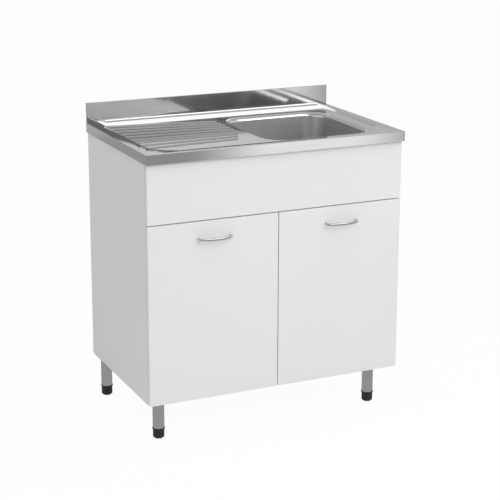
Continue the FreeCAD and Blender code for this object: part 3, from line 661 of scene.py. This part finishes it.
def finish_piece(mesh: bmesh.types.BMesh, name: str, body: str,
                 finishes: list[Finish], smooth_below: float = 32.0) -> bpy.types.Object:
    """Turn a bmesh into a dressed piece that rides on a body.

    Args:
        mesh: the geometry, already in its place; it is freed.
        name: the piece's name.
        body: the body that carries it.
        finishes: one finish for each material index of the mesh.
        smooth_below: the angle in degrees up to which neighbouring faces shade as one.

    Returns:
        The new object.
    """
    data = bpy.data.meshes.new(name)
    mesh.to_mesh(data)
    mesh.free()
    if "custom_normal" in data.attributes:
        data.attributes.remove(data.attributes["custom_normal"])
    data.shade_smooth()
    data.set_sharp_from_angle(angle=math.radians(smooth_below))
    for finish in finishes:
        data.materials.append(finish.material())
    piece = bpy.data.objects.new(name, data)
    bpy.context.scene.collection.objects.link(piece)
    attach(piece, body)
    log.info("made %s with %d faces", name, len(data.polygons))
    return piece


def even_flats(piece: bpy.types.Object) -> None:
    """Shade a piece so that its flat faces stay flat and only the roundings turn.

    Args:
        piece: the piece, which gets a modifier.
    """
    weigh = piece.modifiers.new("even_flats", "WEIGHTED_NORMAL")
    weigh.keep_sharp = True
    weigh.weight = LARGE_FACES_ONLY


def carrier(node: str) -> str:
    """Find the body that carries a node.

    Args:
        node: the node's name.

    Returns:
        The body's name.
    """
    return body_of(frame["nodes"][node])[0]


def sweep(mesh: bmesh.types.BMesh, stations: list[Matrix], around: int) -> None:
    """Sweep a circle through a row of stations and close both ends.

    Args:
        mesh: the empty bmesh that takes the rod.
        stations: places of the circle of radius 1, each scaled to the rod's radius there.
        around: the number of vertices round the rod.
    """
    bmesh.ops.create_circle(mesh, cap_ends=True, segments=around, radius=1.0, matrix=stations[0])
    rim = list(mesh.edges)
    for before, after in zip(stations, stations[1:]):
        grown = bmesh.ops.extrude_edge_only(mesh, edges=rim)["geom"]
        verts = [part for part in grown if isinstance(part, bmesh.types.BMVert)]
        bmesh.ops.transform(mesh, matrix=after @ before.inverted(), verts=verts)
        ring = set(verts)
        rim = [part for part in grown if isinstance(part, bmesh.types.BMEdge)
               and set(part.verts) <= ring]
    bmesh.ops.contextual_create(mesh, geom=rim)
    bmesh.ops.recalc_face_normals(mesh, faces=mesh.faces)


class Axis(Enum):
    """The direction through a board's thickness."""

    X = 0
    Y = 1
    Z = 2


@dataclass
class Board:
    """One melamine board, made from its drilled solid with eased and banded edges."""

    node: str
    through: Axis
    ease: float = 0.0006
    ease_segments: int = 3
    dissolve_angle: float = math.radians(0.5)
    flat_cosine: float = 0.95
    weld: float = 1e-6
    rim_slack: float = 1e-5

    FACE, EDGE, BORE = 0, 1, 2

    def build(self) -> bpy.types.Object:
        """Copy the solid's mesh, ease its outer edges and dress faces, bands and bores.

        Returns:
            The board's object.
        """
        mesh = bmesh.new()
        mesh.from_mesh(frame["nodes"][self.node].data)
        bmesh.ops.remove_doubles(mesh, verts=mesh.verts, dist=self.weld)
        bmesh.ops.dissolve_limit(
            mesh, angle_limit=self.dissolve_angle, verts=mesh.verts, edges=mesh.edges)
        low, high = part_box(self.node)
        rim = [edge for edge in mesh.edges if self.is_outer(edge, low, high)]
        bmesh.ops.bevel(
            mesh, geom=rim, offset=self.ease, segments=self.ease_segments, profile=0.5,
            affect="EDGES", material=-1)
        for face in mesh.faces:
            face.material_index = self.finish_index(face, low, high)
        bmesh.ops.recalc_face_normals(mesh, faces=mesh.faces)
        board = finish_piece(mesh, f"{self.node}_board", carrier(self.node),
                             [BOARD, EDGE_BAND, CHIPBOARD])
        even_flats(board)
        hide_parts(self.node)
        return board

    def is_outer(self, edge: bmesh.types.BMEdge, low: Vector, high: Vector) -> bool:
        """Tell whether an edge is one of the twelve edges of the board's box.

        Args:
            edge: an edge of the board.
            low: the box's low corner.
            high: the box's high corner.

        Returns:
            True if two of the box's sides meet in it.
        """
        sides = 0
        for axis in range(3):
            sides += any(
                all(abs(vert.co[axis] - end[axis]) < self.rim_slack for vert in edge.verts)
                for end in (low, high))
        return sides == 2

    def finish_index(self, face: bmesh.types.BMFace, low: Vector, high: Vector) -> int:
        """Choose a face's finish by where it lies.

        Args:
            face: a face of the board.
            low: the low corner of the board's box.
            high: the high corner of the board's box.

        Returns:
            The number of the material.
        """
        middle = face.calc_center_median()
        through = self.through.value
        is_flat = abs(face.normal[through]) > self.flat_cosine
        axes = [through] if is_flat else [axis for axis in range(3) if axis != through]
        nearest = min(abs(middle[axis] - end[axis]) for axis in axes for end in (low, high))
        if nearest >= self.ease:
            return self.BORE
        return self.FACE if is_flat else self.EDGE


BOARDS = [
    Board("left_side_panel", Axis.X),
    Board("right_side_panel", Axis.X),
    Board("left_door", Axis.Y),
    Board("right_door", Axis.Y),
    Board("fascia_panel", Axis.Y),
    Board("bottom_panel", Axis.Z),
    Board("front_top_rail", Axis.Y),
    Board("front_middle_rail", Axis.Y),
    Board("rear_top_rail", Axis.Y),
    Board("rear_lower_rail", Axis.Y),
]


@dataclass
class SinkTop:
    """The pressed sink top, whose drainer ridges are softened to the waves of a deep pressing.

    The solid's ridges have upright sides; here every vertex near a ridge is moved across it,
    so that the sheet swells and falls back evenly and stays hollow below.
    """

    node: str = "sink_top"
    weld: float = 1e-6

    # The solid's sheet: its thickness, the pan's floor and the rim's top.
    sheet: float = 0.0008
    floor: float = 0.845
    top: float = 0.850

    # The solid's ridges, which fan out to the left; the front ones are cut back at the bowl.
    rise: float = 0.003
    half_width: float = 0.0045
    blend: float = 0.002
    ridges: int = 9
    full_ridges: int = 6
    cut_back: float = 0.015
    left_end: float = -0.355
    right_end: float = -0.034
    first_left: float = 0.1995
    first_right: float = 0.1425
    pitch_left: float = 0.042
    pitch_right: float = 0.0325

    # The slope at the pan's left end.
    slope_foot: float = -0.3545
    slope_width: float = 0.024
    slope_rise: float = 0.005

    # The waves that take the ridges' place, and how far from a ridge the sheet is moved.
    side_cuts: int = 4
    wave_foot: float = 0.0072
    wave_crown: float = 0.0012
    wave_rise: float = 0.0031
    reach: float = 0.0095

    # The outer folds.
    crease: float = 0.0011
    crease_segments: int = 3
    crease_angle: float = math.radians(60)
    crease_slack: float = 1e-5

    def build(self) -> bpy.types.Object:
        """Copy the solid's mesh, round its outer creases and soften its ridges.

        Returns:
            The sink top's object.
        """
        mesh = bmesh.new()
        mesh.from_mesh(frame["nodes"][self.node].data)
        bmesh.ops.remove_doubles(mesh, verts=mesh.verts, dist=self.weld)
        lines = [self.ridge_line(index) for index in range(self.ridges)]
        uprights = [edge for edge in mesh.edges if self.is_upright(edge)]
        bmesh.ops.subdivide_edges(mesh, edges=uprights, cuts=self.side_cuts)
        creases = [edge for edge in mesh.edges if self.is_crease(edge)]
        bmesh.ops.bevel(
            mesh, geom=creases, offset=self.crease, segments=self.crease_segments, profile=0.5,
            affect="EDGES", material=-1, clamp_overlap=True)
        lowest = self.floor - 1.5 * self.sheet
        highest = self.floor + 1.2 * self.rise
        for vert in mesh.verts:
            if lowest < vert.co.z < highest:
                self.soften(vert, lines)
        top = finish_piece(mesh, "sink_top_sheet", carrier(self.node),
                           [SHEET_STEEL], smooth_below=40.0)
        even_flats(top)
        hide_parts(self.node)
        return top

    def is_upright(self, edge: bmesh.types.BMEdge) -> bool:
        """Tell whether an edge climbs the upright side of a ridge.

        Args:
            edge: an edge of the solid.

        Returns:
            True if it lies left of the ridges' right end and climbs, but not past the side.
        """
        low, high = sorted(vert.co.z - self.floor for vert in edge.verts)
        right = self.right_end + self.half_width * 2
        climbs = high - low > self.blend / 4
        top = self.rise - self.blend + self.sheet / 4
        return edge.verts[0].co.x < right and climbs and high < top and low > -1.2 * self.sheet

    def is_crease(self, edge: bmesh.types.BMEdge) -> bool:
        """Tell whether an edge is an outer fold of the rim or the upstand.

        Args:
            edge: an edge of the solid.

        Returns:
            True if it is high enough and its faces fold outwards sharply.
        """
        lowest = min(vert.co.z for vert in edge.verts)
        return (edge.is_manifold and lowest > self.top - self.crease_slack
                and edge.calc_face_angle_signed(0.0) > self.crease_angle)

    def ridge_line(self, index: int) -> tuple[Vector, Vector]:
        """Work out one ridge's centre line, seen from above.

        Args:
            index: the ridge's number, from 0 at the back.

        Returns:
            The line's left end and its right end.
        """
        cut = max(0, index + 1 - self.full_ridges) * self.cut_back
        return (Vector((self.left_end, self.first_left - index * self.pitch_left)),
                Vector((self.right_end - cut, self.first_right - index * self.pitch_right)))

    def soften(self, vert: bmesh.types.BMVert, lines: list[tuple[Vector, Vector]]) -> None:
        """Move one vertex across its nearest ridge, on the sheet's own skin.

        Args:
            vert: a vertex of the drainer.
            lines: the ridges' centre lines.
        """
        place = vert.co.xy
        nearest = min((self.foot_on(place, line) for line in lines),
                      key=lambda foot: (place - foot).length)
        apart = (place - nearest).length
        if apart > self.reach or apart < self.weld:
            return
        height = vert.co.z - self.floor
        skin = self.skin_of(apart, height)
        side = self.half_width - skin
        is_beside = apart > side + self.weld * 100
        if is_beside:
            share = (apart - side) / (self.reach - side)
            wide = self.wave_foot + share * (self.reach - self.wave_foot)
        else:
            wide = self.wave_foot - (self.wave_foot - self.wave_crown) * self.climb(
                apart, height, skin)
        vert.co.x, vert.co.y = nearest + (place - nearest) * (wide / apart)
        if is_beside:
            vert.co.z += self.slope(vert.co.x) - self.slope(place.x)
        else:
            rise = self.wave_rise / 2 * (1 + math.cos(math.pi * wide / self.wave_foot))
            vert.co.z = self.floor - skin + max(rise, self.slope(vert.co.x))

    def skin_of(self, apart: float, height: float) -> float:
        """Tell which skin of the sheet a vertex lies on.

        Args:
            apart: its distance from the ridge's centre line.
            height: its height above the pan's floor.

        Returns:
            0 for the upper skin and the sheet's thickness for the lower one.
        """
        ring = self.half_width - self.blend
        middle = self.sheet / 2
        if height < self.rise - self.blend:
            upper = apart > self.half_width - middle and height > -middle
            return 0.0 if upper or height > self.weld * 10 - middle and apart > ring else self.sheet
        if apart < ring:
            return 0.0 if height > self.rise - middle else self.sheet
        out = math.hypot(apart - ring, height - self.rise + self.blend)
        return 0.0 if out > self.blend - middle else self.sheet

    def climb(self, apart: float, height: float, skin: float) -> float:
        """Measure how far up the ridge's side a vertex is, along the skin.

        Args:
            apart: its distance from the ridge's centre line.
            height: its height above the pan's floor.
            skin: what skin_of says of it.

        Returns:
            A share from 0 at the side's foot to 1 on top.
        """
        upright = self.rise - self.blend + skin
        radius = self.blend - skin
        length = upright + radius * math.pi / 2
        if height < self.rise - self.blend:
            return max(0.0, height + skin) / length
        turn = math.atan2(height - self.rise + self.blend,
                          max(apart - self.half_width + self.blend, 0.0))
        return min(1.0, (upright + radius * turn) / length)

    def slope(self, x: float) -> float:
        """Measure the slope at the pan's left end.

        Args:
            x: a place along the unit's width.

        Returns:
            How far the slope stands above the pan's floor there.
        """
        return min(max((self.slope_foot - x) / self.slope_width, 0.0), 1.0) * self.slope_rise

    @staticmethod
    def foot_on(place: Vector, line: tuple[Vector, Vector]) -> Vector:
        """Find the point of a ridge's centre line that is nearest to a place.

        Args:
            place: a place seen from above.
            line: the centre line's two ends.

        Returns:
            The nearest point, seen from above.
        """
        start, end = line
        along = end - start
        share = (place - start).dot(along) / along.length_squared
        return start + along * min(max(share, 0.0), 1.0)


class Side(Enum):
    """The side of the unit that a door is hung on."""

    LEFT = "left"
    RIGHT = "right"


@dataclass
class BowHandle:
    """A bowed handle bent from one rod, thick in the middle and slim at its two feet."""

    side: Side
    span: float = 0.096
    bow: float = 0.008
    bend: float = 0.011
    middle_radius: float = 0.0045
    foot_radius: float = 0.0036
    flange_radius: float = 0.0040
    flange: float = 0.0012
    flange_neck: float = 1.3
    around: int = 24
    bend_steps: int = 9
    bow_steps: int = 40

    def build(self) -> bpy.types.Object:
        """Sweep the rod from one foot, round a bend, along the bow and back to the door.

        Returns:
            The handle's object.
        """
        mesh = bmesh.new()
        sweep(mesh, [self.station(*step) for step in self.course()], self.around)
        handle = finish_piece(mesh, f"{self.side.value}_bow_handle", carrier(self.node),
                              [HANDLE_CHROME])
        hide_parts(self.node)
        return handle

    @property
    def node(self) -> str:
        """Name the handle's solid.

        Returns:
            The node's name.
        """
        return f"{self.side.value}_handle"

    def course(self) -> list[tuple[float, float, float, float]]:
        """Lay the rod's course from one foot to the other.

        Returns:
            Steps of (along, out, heading, radius). Along is measured from the middle of the
            span, and out from the door. A heading of 0 points along the bar, and one of a
            right angle away from the door.
        """
        low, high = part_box(self.node)
        crown = high.y - low.y - self.middle_radius
        reach = self.span / 2
        sweep_radius = (reach * reach + self.bow * self.bow) / (2 * self.bow)
        lean = math.asin((reach - self.bend) / (sweep_radius - self.bend))
        knee = crown - sweep_radius + (sweep_radius - self.bend) * math.cos(lean)
        upright = math.pi / 2
        half = [
            (-reach, 0.0, upright, self.flange_radius),
            (-reach, self.flange, upright, self.flange_radius),
            (-reach, self.flange * self.flange_neck, upright, self.foot_radius),
            (-reach, knee, upright, self.foot_radius),
        ]
        for step in range(1, self.bend_steps + 1):
            heading = upright + (lean - upright) * step / self.bend_steps
            half.append((self.bend - reach - self.bend * math.sin(heading),
                         knee + self.bend * math.cos(heading), heading, self.foot_radius))
        for step in range(1, self.bow_steps // 2 + 1):
            share = step / (self.bow_steps // 2)
            heading = lean * (1 - share)
            swell = math.sin(share * upright)
            half.append((-sweep_radius * math.sin(heading),
                         crown - sweep_radius + sweep_radius * math.cos(heading), heading,
                         self.foot_radius + (self.middle_radius - self.foot_radius) * swell))
        back = [(-along, out, -heading, radius) for along, out, heading, radius in half[-2::-1]]
        return half + back

    def station(self, along: float, out: float, heading: float, radius: float) -> Matrix:
        """Place the rod's circle at one step of its course.

        Args:
            along: the step's distance from the middle of the span.
            out: its distance from the door.
            heading: the rod's direction there.
            radius: the rod's radius there.

        Returns:
            The circle's place, turn and scale.
        """
        low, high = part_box(self.node)
        place = Vector(((low.x + high.x) / 2 + along, high.y - out, (low.z + high.z) / 2))
        turn = Matrix.Rotation(-heading, 4, "Z") @ Matrix.Rotation(math.pi / 2, 4, "Y")
        return Matrix.Translation(place) @ turn @ Matrix.Scale(radius, 4)


# ------------------------------------------------------------------ dressing the frame

def dress_nodes() -> None:
    """Give every carried-over node the finish of its material slot."""
    for name, node in frame["nodes"].items():
        for index, material in enumerate(node.data.materials):
            finish = NODE_FINISHES.get(name, SLOT_FINISHES[material.name.split(".")[0]])
            node.data.materials[index] = finish.material()
        log.info("dressed %s", name)


def main() -> None:
    """Build the studio and every sub-assembly in order."""
    scene = bpy.context.scene
    scene.view_settings.view_transform = "Standard"
    PhotoCamera().place()
    Studio().build()
    dress_nodes()
    for board in BOARDS:
        board.build()
    for side in Side:
        BowHandle(side).build()
    SinkTop().build()


if __name__ == "__main__":
    main()
